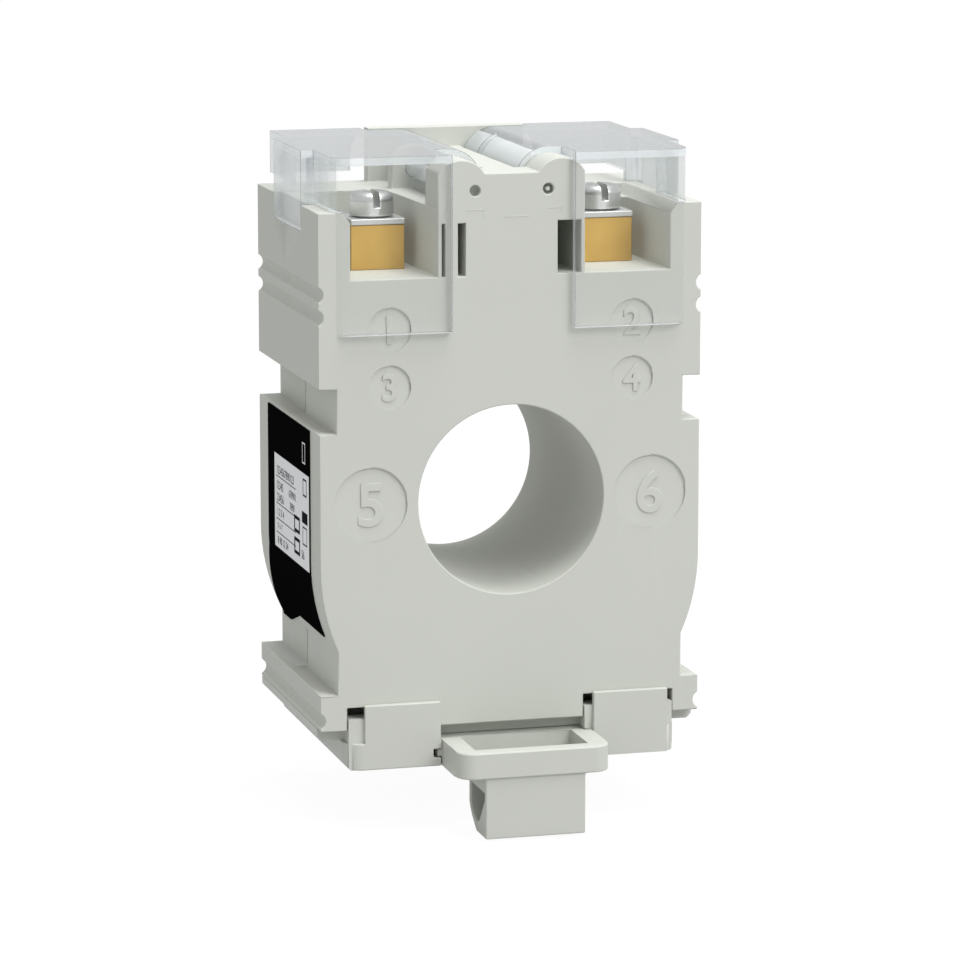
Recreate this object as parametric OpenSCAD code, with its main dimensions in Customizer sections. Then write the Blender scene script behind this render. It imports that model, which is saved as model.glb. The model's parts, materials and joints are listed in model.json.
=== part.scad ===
// Ring-type current transformer with clear terminal covers and a rail clip.
// The window axis is the Y axis. The front face lies at y = 0 and Z points up.
// All sizes are in millimetres.

/* [Housing] */
// Width across the side posts
body_w = 44; // [43.4:0.2:48]
// Depth from the front face to the back face
body_d = 30.3; // [29.5:0.1:34]
// Share of the depth that the front shell takes
split_y = 16.2; // [15.6:0.1:17]
// Wall of both shells
wall = 1.5; // [1.2:0.1:1.8]
// Height of the side posts above the window axis
post_top = 32.8; // [32.4:0.1:34]
// Height of the underside below the window axis
foot_drop = 25.4; // [25:0.1:27]
// Height of the two feet
foot_h = 4.07; // [3.4:0.05:4.6]
// Depth of the side recess in the front shell
recess_front = 2; // [1.6:0.1:2.2]
// Depth of the side recess in the rear shell
recess_rear = 2.5; // [2.2:0.1:2.7]
// Upper end of the upper side notch
notch_top = 13.2; // [12.4:0.1:14]
// Lower end of the upper side notch
notch_low = 8.2; // [7.4:0.1:9]
// Height at which the lower side starts to curve in
curve_z = -7; // [-8:0.1:-6]
// How far beyond the middle that curve has its centre
curve_in = 1.1; // [0.6:0.1:1.6]
// Upper end of the upper seam slot
seam_up = 11.9; // [11:0.1:12]
// Upper end of the lower seam slot
seam_down = -16.9; // [-17.5:0.1:-16.9]
// Depth of the round grooves in the sides
groove_d = 0.5; // [0.3:0.05:0.7]
// Depth of the marking discs in the front face
disc_d = 0.3; // [0.2:0.05:0.4]

/* [Window] */
// Diameter of the window for the primary conductor
win_d = 21.47; // [20:0.1:22]
// Wall of the window tube
tube_wall = 1.2; // [1:0.05:1.3]

/* [Core and winding] */
// Gap between stacked rings
ring_fit = 0.05; // [0.03:0.01:0.08]
// Thickness of the tape around the winding
tape_t = 0.4; // [0.2:0.05:0.5]
// Thickness of the winding layer
wind_t = 1.1; // [0.8:0.05:1.2]
// Wall of the insulating core caps
cap_t = 0.7; // [0.5:0.05:0.8]
// Radial build of the steel core
core_build = 2.4; // [1.8:0.1:2.6]
// Diameter of the leads
lead_d = 1.4; // [1:0.1:1.8]
// Number of visible turns in the winding
turns = 40; // [24:2:60]

/* [Terminals] */
// Offset of each terminal from the middle of its pocket
term_in = 0.125; // [0:0.025:0.3]
// Front face of the brass block
term_y = 8; // [7.4:0.1:8.6]
// Width of the brass block
term_w = 6.2; // [5.6:0.1:6.6]
// Length of the brass block
term_l = 5.8; // [5.4:0.1:6]
// Height of the brass block
term_h = 5.05; // [4.6:0.05:5.2]
// Thickness of the clamp plate
plate_t = 0.65; // [0.5:0.05:0.9]
// Diameter of the screw head
head_d = 5; // [4.4:0.1:5.4]
// Height of the screw head
head_h = 2.7; // [2.4:0.05:3]
// Rounding of the top of the screw head
head_round = 1.1; // [0.6:0.05:1.3]
// Gap between the screw head and the clamp plate
head_gap = 0.2; // [0.05:0.05:0.3]
// Diameter of the screw shank
shank_d = 3; // [2.5:0.1:3.2]
// Width of the screwdriver slot
slot_w = 0.8; // [0.6:0.1:1]
// Depth of the screwdriver slot
slot_d = 1.7; // [1.2:0.1:2]

/* [Pockets and centre block] */
// Floor of the terminal pockets
pocket_z = 25.3; // [25:0.1:25.8]
// Half width of the centre block
block_x = 8.45; // [8.2:0.05:8.6]
// Thickness of the side posts beside the pockets
post_w = 3.6; // [3.2:0.1:4]
// Rear end of the terminal pockets
pocket_y = 21; // [20:0.1:22]
// Taper of the pockets towards the rear end
pocket_draft = 0.8; // [0.2:0.1:1]
// Height of the deck between the hinges
deck_z = 36.65; // [36.4:0.05:36.7]
// Length of the front hinge lugs
lug_l = 5.4; // [5:0.1:6]
// Rounding of the hinge lugs
lug_r = 3.1; // [2.8:0.05:3.15]
// Length of the rear hinge bridge
bridge_l = 1.9; // [1.7:0.1:2.2]
// Front end of the middle hinge lugs
mid_y = 20.6; // [19:0.1:21]
// Length of the middle hinge lugs
mid_l = 2; // [1.6:0.1:2.4]
// Rounding of the middle hinge lugs
mid_r = 2.7; // [2.5:0.05:2.8]
// Half width of the rear hinge bridge
bridge_x = 9.35; // [9:0.05:9.5]

/* [Clear covers] */
// Distance of each hinge axis from the middle
hinge_x = 5.75; // [5.65:0.05:5.9]
// Height of the hinge axes
hinge_z = 35.1; // [35:0.05:35.2]
// Outer radius of the hinge barrel
barrel_r = 3.8; // [3.7:0.05:3.85]
// Wall of the covers
cover_t = 0.9; // [0.7:0.05:1]
// Diameter of the hinge pin
pin_d = 2; // [1.6:0.1:2.2]
// Running clearance of the hinge pin in its bore
pin_fit = 0.05; // [0.03:0.01:0.08]
// Distance of the cover side from the edge of the housing
cover_in = 1.5; // [1.3:0.1:1.6]
// Radius of the front corners of the covers
cover_r = 2.4; // [2:0.1:2.6]
// Lower edge of the front skirts
skirt_z = 19.2; // [18.6:0.1:20]
// Lower edge of the side tabs
tab_z = 29.85; // [29.4:0.05:30.4]
// Front end of the side tabs
tab_y = 8.4; // [8:0.1:9]
// Length of the side tabs
tab_l = 13.5; // [12:0.1:14]

/* [Rail clip] */
// Thickness of the base flange
flange_t = 1.45; // [1.2:0.05:1.8]
// Front end of the base flange
flange_y = 2.1; // [1.9:0.1:2.6]
// Height of the base block below the flange
block_h = 3.05; // [2.8:0.05:3.4]
// Half width of the base block
base_x = 19.4; // [19:0.1:20]
// Distance of the base block in front of the housing
base_out = 0.7; // [0.6:0.05:0.9]
// Sideways offset of the brackets and the latch
clip_shift = 0.6; // [0.4:0.05:0.7]
// Half width of the latch
latch_x = 8.8; // [8.4:0.1:9]
// Half width of the opening in the latch loop
loop_x = 6.5; // [6:0.1:6.8]
// Distance of the latch loop in front of the housing
latch_out = 8.3; // [8:0.1:9]
// Gap on each side of the latch
latch_fit = 0.1; // [0.06:0.01:0.12]
// Width of the rail
rail_w = 35; // [34.8:0.05:35.2]
// Thickness of the rail edge
rail_t = 1; // [0.9:0.05:1.1]
// Front edge of the rail
rail_y = -3.2; // [-3.4:0.05:-3]
// Height of the latch tongue below the base block
tongue_h = 6.95; // [6.6:0.05:7.2]
// Half width of the latch tongue
tongue_x = 5.75; // [5.4:0.05:6]
// Web between the two pockets of the tongue
tongue_web = 1.2; // [0.8:0.1:2]
// Length of the latch inside the base
slide_l = 9; // [8:0.5:10]
// Length of the guide ribs of the latch
rib_l = 9.3; // [7:0.1:9.3]
// Height of the guide ribs
rib_h = 0.84; // [0.6:0.02:0.9]
// Height of the middle of the guide ribs above the underside
rib_z = 1.45; // [1.2:0.05:1.6]
// Length of the channel in the base
channel_end = 14; // [13:0.5:16]
// How far the fixed hooks reach under the rear edge of the rail
hook_in = 1.4; // [1:0.1:1.45]
// Inner side of the fixed hooks
hook_x = 5; // [4:0.5:6]
// Width of the fixed hooks
hook_w = 7; // [5:0.5:8]
// Height of the tabs of the base inside the front notches
tab_h = 1.3; // [1:0.1:1.6]
// Height of the front notches
notch_h = 2.6; // [2.4:0.1:2.8]

/* [Label] */
// Thickness of the label
label_t = 0.2; // [0.1:0.05:0.3]
// Front edge of the label
label_y = 4.5; // [4:0.1:5]
// Length of the label
label_l = 20.6; // [19:0.1:21]
// Lower end of the label in front
label_low = -15.5; // [-16:0.1:-14.5]
// Drop of its rear end below that
label_drop = 2.2; // [1.6:0.1:2.6]

/* [Clearances] */
// Gap between the covers and what they swing past
cover_gap = 0.1; // [0.06:0.01:0.12]
// Gap around the hinge barrels
barrel_gap = 0.15; // [0.1:0.01:0.2]
// Overhang of the covers behind the housing
cover_over = 0.2; // [0.1:0.05:0.4]
// Gap between the window tube and the tape
tube_gap = 0.08; // [0.04:0.01:0.1]
// Gap between the tape and the wall of its chamber
chamber_gap = 0.45; // [0.2:0.05:0.5]
// Gap at each end of the wound core
pack_gap = 0.1; // [0.05:0.01:0.12]
// Gap between pieces that are seated on each other
seat_gap = 0.05; // [0.03:0.01:0.08]
// Play of a bore around the screw or the lead in it
bore_play = 0.1; // [0.06:0.02:0.2]
// Play of the leads in the holes of the housing and the tape
lead_play = 0.3; // [0.1:0.05:0.4]
// Gap between the hooks and the rail
rail_gap = 0.1; // [0.05:0.01:0.15]

/* [Hidden] */
$fn = 72;
half_w = body_w / 2;
curve_r = half_w + curve_in;
pocket_x = half_w - post_w;
term_x = (block_x + pocket_x) / 2 - term_in;
foot_low = -foot_drop;
foot_top = foot_low + foot_h;
tube_r = win_d / 2 + tube_wall;
tape_in = tube_r + tube_gap;
wind_in = tape_in + tape_t + ring_fit;
cap_in = wind_in + wind_t + ring_fit;
core_in = cap_in + cap_t + ring_fit;
core_out = core_in + core_build;
cap_out = core_out + ring_fit + cap_t;
wind_out = cap_out + ring_fit + wind_t;
tape_out = wind_out + ring_fit + tape_t;
chamber_r = tape_out + chamber_gap;
side_wall = 1.2;
floor_wall = 1.2;
chamber_x = half_w - recess_rear - side_wall;
chamber_top = pocket_z - floor_wall;
chamber_low = foot_low + wall;
tape_y = wall + pack_gap;
tape_end = body_d - wall - pack_gap;
wind_y = tape_y + tape_t + ring_fit;
wind_end = tape_end - tape_t - ring_fit;
cap_y = wind_y + wind_t + ring_fit;
cap_end = wind_end - wind_t - ring_fit;
cap_mid = (cap_y + cap_end) / 2;
core_y = cap_y + cap_t + ring_fit;
core_end = cap_end - cap_t - ring_fit;
boss_r = 1.5;
peg_r = 0.9;
peg_l = 4;
peg_in = 2.2;
peg_x = chamber_x - boss_r - pack_gap;
peg_up = chamber_top - peg_in;
peg_down = chamber_low + peg_in;
screw_y = term_y + term_l / 2;
term_top = pocket_z + term_h;
plate_top = term_top + plate_t;
shank_floor = 0.9;
shank_low = pocket_z + shank_floor;
lead_y = screw_y;
bridge_y = body_d - bridge_l;
bridge_z = hinge_z + barrel_r + barrel_gap;
cover_top = hinge_z + barrel_r;
cover_x = half_w - cover_in;
cover_front = -cover_t - cover_gap;
cover_back = body_d + cover_over;
barrel_y = lug_l + cover_gap;
barrel_end = bridge_y - cover_gap;
mid_end = mid_y + mid_l;
deck_x = hinge_x - barrel_r - barrel_gap;
bridge_sweep = norm([bridge_x - hinge_x, bridge_z - hinge_z]) + cover_gap;
block_top = foot_low - flange_t;
block_low = block_top - block_h;
latch_top = block_top - seat_gap;
ear_w = 3;
notch_x = half_w - ear_w;
label_in = 0.2;
label_top = notch_low - label_in;
label_end = label_y + label_l;
rail_end = rail_y + rail_w;
groove_r = 0.95;
top_wall = 1.6;
slot_in = 0.45;
slot_deep = 10;
groove_z = [23.75, 21.2, foot_low + 1.2];
lead_way_x = 3.9;
lead_way_z = 29.8;
disc_x = half_w - 8;
disc_up = 19.6;
disc_down = 13.2;
large_disc_x = half_w - 5.8;
large_disc_z = 0.1;
seal_r = 0.62;
seal_deep = 1.2;
pin_front = 1.4;
pin_rear = 1.2;
pin_end = 0.2;
rest_x = 2.4;
tab_play = 0.1;
bracket_x = 13.3;
bracket_half = 4.35;
lead_in = 0.6;
sink = 0.1;
cut = 1;

// A rectangle in the X-Z plane between two corners
module zrect(x0, x1, z0, z1) {
    translate([x0, z0]) square([x1 - x0, z1 - z0]);
}

// Extrudes an X-Z outline along Y from y0 to y1
module along_y(y0, y1) {
    translate([0, y1, 0]) rotate([90, 0, 0]) linear_extrude(height = y1 - y0) children();
}

// A cylinder along Y
module rod_y(x, z, r, y0, y1) {
    translate([x, y0, z]) rotate([-90, 0, 0]) cylinder(r = r, h = y1 - y0);
}

// A box between two corners
module box(a, b) {
    translate(a) cube(b - a);
}

// The same piece on both sides of the middle
module both() {
    children();
    mirror([1, 0, 0]) children();
}

// A closed ring around the window axis
module ring(r0, r1, y0, y1) {
    translate([0, y0, 0]) rotate([-90, 0, 0]) rotate_extrude()
        translate([r0, 0]) square([r1 - r0, y1 - y0]);
}

// Outline of the housing with a side recess of the given depth
module outline(recess) {
    difference() {
        union() {
            zrect(-half_w, half_w, notch_top, post_top);
            zrect(-half_w + recess, half_w - recess, foot_low, notch_top + 1);
            zrect(-half_w, half_w, curve_z, notch_low);
            zrect(-half_w, half_w, foot_low, foot_top);
            intersection() {
                translate([-curve_in, curve_z]) circle(r = curve_r, $fn = 180);
                translate([curve_in, curve_z]) circle(r = curve_r, $fn = 180);
                zrect(-half_w, half_w, foot_low, curve_z + 0.5);
            }
        }
        both() for (z = groove_z) translate([half_w + groove_r - groove_d, z]) circle(r = groove_r);
    }
}

// Hollow for the core, with room for the legs of the housing
module chamber() {
    circle(r = chamber_r, $fn = 180);
    zrect(-chamber_x, chamber_x, chamber_low, chamber_top);
}

// Hollow in the centre block above the chamber
module lead_way() {
    zrect(-lead_way_x, lead_way_x, chamber_top - cut, lead_way_z);
}

// Centre block between the pockets, behind the lugs
module saddle() {
    zrect(-block_x, block_x, chamber_top, post_top);
    zrect(-deck_x, deck_x, chamber_top, deck_z);
}

// Room in which the hinge barrel of a cover turns
module barrel_room() {
    intersection() {
        translate([hinge_x, hinge_z]) circle(r = barrel_r + barrel_gap);
        zrect(0, hinge_x + 2 * barrel_gap, pocket_z, deck_z + cut);
    }
}

// Front face of the centre block with its two rounded lugs
module lugs() {
    zrect(-block_x, block_x, chamber_top, hinge_z);
    zrect(-hinge_x, hinge_x, chamber_top, deck_z);
    intersection() {
        both() translate([hinge_x, hinge_z]) circle(r = lug_r);
        zrect(-block_x, block_x, chamber_top, hinge_z + lug_r);
    }
}

// Room for one terminal, open to the front and to the top
module pocket_cut() {
    translate([0, 0, pocket_z]) linear_extrude(height = post_top - pocket_z + 1)
        polygon([[block_x, -1], [block_x, 0], [block_x + pocket_draft, pocket_y],
            [pocket_x - pocket_draft, pocket_y], [pocket_x, 0], [pocket_x, -1]]);
    along_y(-1, pocket_y - 1) polygon([[pocket_x - 1, post_top - 1.2],
        [pocket_x, post_top - 1.2], [pocket_x + 1, post_top + 0.1], [pocket_x - 1, post_top + 0.1]]);
}

// Recess in the side wall for the tab of a cover
module tab_cut() {
    box([half_w - cover_in + 0.5, tab_y - cover_gap, tab_z - cover_gap],
        [half_w + cut, tab_y + tab_l + cover_gap, post_top + cut]);
}

// Slots in the side recesses at the joint of the shells
module seam_cut() {
    front = split_y - 1.3;
    rear = split_y + 1.2;
    box([chamber_x - cut, front, notch_low + seat_gap], [half_w + cut, rear, seam_up]);
    box([chamber_x - cut, front, foot_top + seat_gap], [half_w + cut, rear, seam_down]);
}

// Everything that is cut from both shells on one side
module side_cuts() {
    pocket_cut();
    tab_cut();
    seam_cut();
    // Upper hollow behind the pocket
    box([block_x - 3, pocket_y + wall, chamber_top - cut],
        [half_w - 2, body_d - wall, post_top - top_wall]);
}

// Deep upright slots in the centre block
module front_slots() {
    slot_top = post_top - top_wall;
    box([hinge_x - slot_in, -cut, pocket_z], [block_x - slot_in, slot_deep, slot_top]);
    box([-block_x + slot_in, -cut, pocket_z], [-block_x + slot_in + 0.4, slot_deep, slot_top]);
    box([-hinge_x - 0.4, -cut, pocket_z], [-hinge_x + 0.5, slot_deep, slot_top]);
}

module front_shell() color([0.8, 0.81, 0.78]) {
    difference() {
        union() {
            along_y(0, split_y) outline(recess_front);
            along_y(0, lug_l) lugs();
            along_y(lug_l, split_y) saddle();
        }
        along_y(wall, split_y + cut) chamber();
        along_y(wall, split_y + cut) lead_way();
        both() side_cuts();
        both() along_y(lug_l, split_y + cut) barrel_room();
        front_slots();
        rod_y(0, 0, win_d / 2, -cut, wall + cut);
        both() {
            rod_y(hinge_x, hinge_z, pin_d / 2 + pin_fit, barrel_y - pin_front - pin_end, lug_l + cut);
            // Sealing hole beside the hinge
            rod_y(hinge_x - 1.55, hinge_z - 0.35, seal_r, -cut, seal_deep);
            // Recessed marking discs
            rod_y(disc_x, disc_up, 2.5, -cut, disc_d);
            rod_y(disc_x, disc_down, 2.45, -cut, disc_d);
            rod_y(large_disc_x, large_disc_z, 4.2, -cut, disc_d);
            // Passage of the lead through the pocket floor
            translate([term_x, lead_y, chamber_top - cut])
                cylinder(d = lead_d + lead_play, h = floor_wall + 2 * cut);
            // Notch for the bracket of the rail clip
            box([block_x, -cut, foot_low - cut], [notch_x, 6, foot_low + notch_h]);
        }
    }
    // Window tube, which runs through both shells
    difference() {
        rod_y(0, 0, tube_r, 0, body_d);
        rod_y(0, 0, win_d / 2, -cut, body_d + cut);
    }
    both() {
        // Rest behind the terminal
        box([term_x - rest_x, term_y + term_l + seat_gap, pocket_z - 2 * sink],
            [term_x + rest_x, split_y - 0.3, term_top - 1.2]);
        // Locating pegs
        for (z = [peg_up, peg_down]) {
            rod_y(peg_x, z, boss_r, wall - sink, split_y);
            rod_y(peg_x, z, peg_r, wall, split_y + peg_l);
        }
    }
}

module rear_shell() color([0.78, 0.79, 0.76]) {
    difference() {
        union() {
            along_y(split_y, body_d) outline(recess_rear);
            along_y(split_y, bridge_y) saddle();
            along_y(bridge_y, body_d) zrect(-bridge_x, bridge_x, chamber_top, bridge_z);
        }
        along_y(split_y - cut, body_d - wall) chamber();
        along_y(split_y - cut, body_d - wall) lead_way();
        both() side_cuts();
        both() along_y(split_y - 1, bridge_y) barrel_room();
        rod_y(0, 0, tube_r + seat_gap, split_y, body_d + cut);
        both() rod_y(hinge_x, hinge_z, pin_d / 2 + pin_fit, bridge_y - cut, barrel_end + pin_rear + pin_end);
    }
    // Middle lugs, through which the hinge pins run
    lug_low = hinge_z - barrel_r - 0.6;
    both() difference() {
        along_y(mid_y, mid_end) intersection() {
            union() {
                translate([hinge_x, hinge_z]) circle(r = mid_r);
                zrect(hinge_x - mid_r + 0.15, hinge_x + mid_r, lug_low, hinge_z);
            }
            zrect(0, block_x, lug_low, hinge_z + mid_r);
        }
        rod_y(hinge_x, hinge_z, pin_d / 2 + pin_fit, mid_y - cut, mid_end + cut);
    }
    // Sockets for the locating pegs
    both() for (z = [peg_up, peg_down]) difference() {
        rod_y(peg_x, z, boss_r, split_y + seat_gap, body_d - wall + sink);
        rod_y(peg_x, z, peg_r + seat_gap, split_y - cut, split_y + peg_l + 0.2);
    }
}

// Ring core wound from a steel strip
module core() color([0.42, 0.43, 0.45]) {
    ring(core_in, core_out, core_y, core_end);
}

// One insulating cap, a channel around half of the core
module core_cap(y0, y1, inner_y0, inner_y1) {
    difference() {
        ring(cap_in, cap_out, y0, y1);
        ring(cap_in + cap_t, cap_out - cap_t, inner_y0, inner_y1);
    }
}

module core_cap_front() color([0.15, 0.3, 0.5]) {
    core_cap(cap_y, cap_mid - 0.03, cap_y + cap_t, cap_mid + 1);
}

module core_cap_rear() color([0.15, 0.3, 0.5]) {
    core_cap(cap_mid + 0.03, cap_end, cap_mid - 1, cap_end - cap_t);
}

// Copper winding around the capped core, with a groove between the turns
module winding() color([0.72, 0.42, 0.2]) {
    difference() {
        ring(wind_in, wind_out, wind_y, wind_end);
        ring(wind_in + wind_t, wind_out - wind_t, wind_y + wind_t, wind_end - wind_t);
        for (i = [0 : turns - 1]) rotate([0, (i + 0.5) * 360 / turns, 0])
            translate([wind_in - 1, wind_y - 1, -0.15])
                cube([wind_out - wind_in + 2, 1.3, 0.3]);
    }
}

// Tape over the winding, open where the leads come out
module winding_tape() color([0.85, 0.8, 0.55]) {
    difference() {
        ring(tape_in, tape_out, tape_y, tape_end);
        ring(tape_in + tape_t, tape_out - tape_t, tape_y + tape_t, tape_end - tape_t);
        both() translate([term_x, lead_y, 8]) cylinder(d = lead_d + lead_play, h = tape_out);
    }
}

// Lead from the winding up into the brass block
module lead(side) {
    difference() {
        translate([side * term_x, lead_y, 8]) cylinder(d = lead_d, h = pocket_z + lead_in - 8);
        rod_y(0, 0, wind_out + 0.02, 0, body_d);
    }
}

module lead_left() color([0.75, 0.2, 0.15]) lead(-1);

module lead_right() color([0.75, 0.2, 0.15]) lead(1);

// Brass block with the bore of the screw and a socket for the lead
module terminal(side) {
    difference() {
        translate([side * term_x - term_w / 2, term_y, pocket_z]) cube([term_w, term_l, term_h]);
        translate([side * term_x, screw_y, shank_low - 0.1])
            cylinder(d = shank_d + bore_play, h = term_h);
        translate([side * term_x, lead_y, pocket_z - cut])
            cylinder(d = lead_d + bore_play, h = cut + lead_in + seat_gap);
    }
}

module terminal_left() color([0.8, 0.65, 0.32]) terminal(-1);

module terminal_right() color([0.8, 0.65, 0.32]) terminal(1);

// Clamp plate under the screw head
module clamp_plate(side) {
    difference() {
        translate([side * term_x - term_w / 2, term_y - 0.2, term_top + 0.02])
            cube([term_w, term_l, plate_t]);
        translate([side * term_x, screw_y, term_top - 1]) cylinder(d = shank_d + bore_play, h = 4);
    }
}

module clamp_plate_left() color([0.7, 0.71, 0.72]) clamp_plate(-1);

module clamp_plate_right() color([0.7, 0.71, 0.72]) clamp_plate(1);

// Head of the screw, turned with a domed top
module screw_head() {
    rotate_extrude() intersection() {
        union() {
            square([head_d / 2, head_h - head_round]);
            square([head_d / 2 - head_round, head_h]);
            translate([head_d / 2 - head_round, head_h - head_round]) circle(r = head_round);
        }
        square([head_d / 2, head_h]);
    }
}

// Slotted screw
module screw(side) {
    head_z = plate_top + head_gap;
    translate([side * term_x, screw_y, 0]) difference() {
        union() {
            translate([0, 0, shank_low]) cylinder(d = shank_d, h = head_z - shank_low + 1);
            translate([0, 0, head_z]) screw_head();
        }
        translate([-slot_w / 2, -head_d, head_z + head_h - slot_d])
            cube([slot_w, 2 * head_d, slot_d + 1]);
    }
}

module screw_left() color([0.62, 0.63, 0.64]) screw(-1);

module screw_right() color([0.62, 0.63, 0.64]) screw(1);

// Plan of one cover, drawn for the right side; t moves every wall inwards
module cover_plan(t) {
    x0 = block_x - 1.45;
    x1 = cover_x - t;
    r = cover_r - t;
    y0 = cover_front + t;
    translate([x0, y0 + r]) square([x1 - x0, cover_back - t - y0 - r]);
    translate([x0, y0]) square([x1 - r - x0, r + 1]);
    translate([x1 - r, y0 + r]) circle(r = r);
    translate([x1 - 2, tab_y + t]) square([cover_in + 2, tab_l - 2 * t]);
}

// Clear cover, drawn for the right side
module cover() {
    difference() {
        union() {
            // Shell with a closed top
            translate([0, 0, skirt_z]) linear_extrude(height = cover_top - skirt_z) cover_plan(0);
            // Part of the top that reaches over the hinge
            box([hinge_x, barrel_y, cover_top - cover_t], [block_x, barrel_end, cover_top]);
        }
        translate([0, 0, skirt_z - 1])
            linear_extrude(height = cover_top - cover_t - skirt_z + 1) cover_plan(cover_t);
        // Inner side stays open towards the centre block
        box([0, -cover_gap, skirt_z - cut], [block_x + 0.6, body_d + cut, cover_top - cover_t]);
        // Only the front skirt reaches down over the pocket
        rest_z = post_top + seat_gap;
        box([0, -cover_gap, skirt_z - cut], [half_w + cut, tab_y, rest_z]);
        box([0, tab_y - 0.1, skirt_z - cut], [cover_x + 0.55, tab_y + tab_l + 0.1, rest_z]);
        box([0, tab_y - 0.1, skirt_z - cut], [half_w + cut, tab_y + tab_l + 0.1, tab_z]);
        box([0, tab_y + tab_l, skirt_z - cut], [half_w + cut, body_d + 2, post_top + 1.2]);
        // Room to swing past the lug and the bridge
        box([0, -cover_gap, cover_top - 2], [hinge_x + 1.62, barrel_y, cover_top + cut]);
        rod_y(hinge_x, hinge_z, bridge_sweep, barrel_end, body_d + cut);
        box([0, barrel_end, hinge_z],
            [hinge_x + bridge_z - hinge_z + cover_gap, body_d + cut, cover_top + cut]);
    }
    // Hinge barrel, its end webs and the pin
    difference() {
        rod_y(hinge_x, hinge_z, barrel_r, barrel_y, barrel_end);
        rod_y(hinge_x, hinge_z, barrel_r - cover_t, barrel_y + 1, barrel_end - 1);
        box([0, 0, hinge_z - 5], [20, body_d, hinge_z]);
        box([hinge_x, 0, hinge_z - 5], [20, body_d, cover_top + cut]);
        mid_front = mid_y - cover_gap;
        mid_rear = mid_end + cover_gap;
        box([0, mid_front, hinge_z - 5], [hinge_x + 1, mid_rear, cover_top - cover_t]);
        box([0, mid_front, hinge_z - 5], [hinge_x - 1, mid_rear, cover_top + cut]);
    }
    rod_y(hinge_x, hinge_z, pin_d / 2, barrel_y - pin_front, barrel_end + pin_rear);
}

module cover_left() color([0.82, 0.86, 0.88, 0.5]) mirror([1, 0, 0]) cover();

module cover_right() color([0.82, 0.86, 0.88, 0.5]) cover();

// Side profile of a fixed hook at the rear edge of the rail
module hook_profile() {
    arm_z = block_low + 0.15;
    catch_z = block_low - rail_t - rail_gap;
    polygon([[body_d - 1, block_low + 1.5], [rail_end + 2.2, block_low + 1.5],
        [rail_end + 2.2, catch_z - 1.1], [rail_end + 1.6, catch_z - 1.5],
        [rail_end - hook_in + 0.5, catch_z - 1.1], [rail_end - hook_in, catch_z],
        [rail_end + seat_gap, catch_z], [rail_end + seat_gap, arm_z], [body_d - 1, arm_z]]);
}

// Extrudes a Y-Z outline along X
module along_x(x0, x1) {
    translate([x0, 0, 0]) rotate([90, 0, 90]) linear_extrude(height = x1 - x0) children();
}

module rail_base() color([0.8, 0.81, 0.78]) {
    difference() {
        union() {
            // Flange under the feet
            along_y(flange_y, body_d) polygon([[-half_w, foot_low], [half_w, foot_low],
                [half_w, foot_low - 0.9], [half_w - 0.55, block_top],
                [-half_w + 0.55, block_top], [-half_w, foot_low - 0.9]]);
            // Base block with rounded front corners
            translate([0, 0, block_low]) linear_extrude(height = block_h) base_plan();
            // Hooks for the rear edge of the rail
            along_x(clip_shift - hook_x - hook_w, clip_shift - hook_x) hook_profile();
            along_x(clip_shift + hook_x, clip_shift + hook_x + hook_w) hook_profile();
            // Brackets in front of the housing
            for (s = [-1, 1]) translate([clip_shift - 0.05 + s * bracket_x, 0, 0])
                box([-bracket_half, -base_out, block_low],
                    [bracket_half, -seat_gap, foot_low + notch_h + 0.3]);
            // Tabs in the front notches
            both() box([block_x + tab_play, -2 * sink, block_low],
                [notch_x - tab_play, flange_y + 2 * sink, foot_low + tab_h]);
        }
        translate([clip_shift, 0, 0]) latch_channel();
        // Chamfered lower edges
        both() along_y(-2, body_d + 1) polygon([[base_x + 0.01, block_low + 0.7],
            [base_x - 0.7, block_low - 0.01], [base_x + 0.5, block_low - 0.01]]);
    }
}

// Plan of the base block
module base_plan() {
    r = 2.2;
    translate([-base_x, -base_out + r]) square([2 * base_x, body_d + base_out - r]);
    translate([-base_x + r, -base_out]) square([2 * (base_x - r), r + 1]);
    for (s = [-1, 1]) translate([s * (base_x - r), -base_out + r]) circle(r = r);
}

// Channel in which the latch slides, with a guide groove on each side
module latch_channel() {
    x = latch_x + latch_fit;
    box([-x, -3, block_low - 1], [x, channel_end, block_top]);
    box([-x - 0.9, -3, block_low + rib_z - rib_h / 2 - 0.08],
        [x + 0.9, channel_end, block_low + rib_z + rib_h / 2 + 0.08]);
}

// Plan of the latch
module latch_plan() {
    r = 2;
    difference() {
        union() {
            translate([-latch_x, -latch_out + r]) square([2 * latch_x, slide_l + latch_out - r]);
            translate([-latch_x + r, -latch_out]) square([2 * (latch_x - r), r + 1]);
            for (s = [-1, 1]) translate([s * (latch_x - r), -latch_out + r]) circle(r = r);
        }
        translate([-loop_x, -latch_out + 1.95]) square([2 * loop_x, latch_out - 1.65]);
    }
}

// A point of the tongue's side, as shares of its depth and of its height
function tongue_at(a, b) = [-latch_out * a, block_low - tongue_h * (1 - b)];

// Side profile of the latch tongue, with the catch under the rail edge
module tongue_profile() {
    catch_z = block_low - rail_t - 0.15;
    polygon([[0.3 - latch_out, block_low + 0.5], [rail_y - 0.2, block_low + 0.5],
        [rail_y - 0.2, catch_z], [-base_out - 0.1, catch_z], tongue_at(0.096, 0.4),
        tongue_at(0.15, 0.29), tongue_at(0.236, 0.19), tongue_at(0.35, 0.09),
        tongue_at(0.47, 0), [0.3 - latch_out, block_low - tongue_h]]);
}

// Pocket in each side of the tongue
module tongue_pocket() {
    polygon([tongue_at(0.88, 0.74), tongue_at(0.175, 0.74), tongue_at(0.175, 0.42),
        tongue_at(0.23, 0.31), tongue_at(0.337, 0.216), tongue_at(0.48, 0.18),
        tongue_at(0.58, 0.2), tongue_at(0.675, 0.32), tongue_at(0.88, 0.63)]);
}

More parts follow.
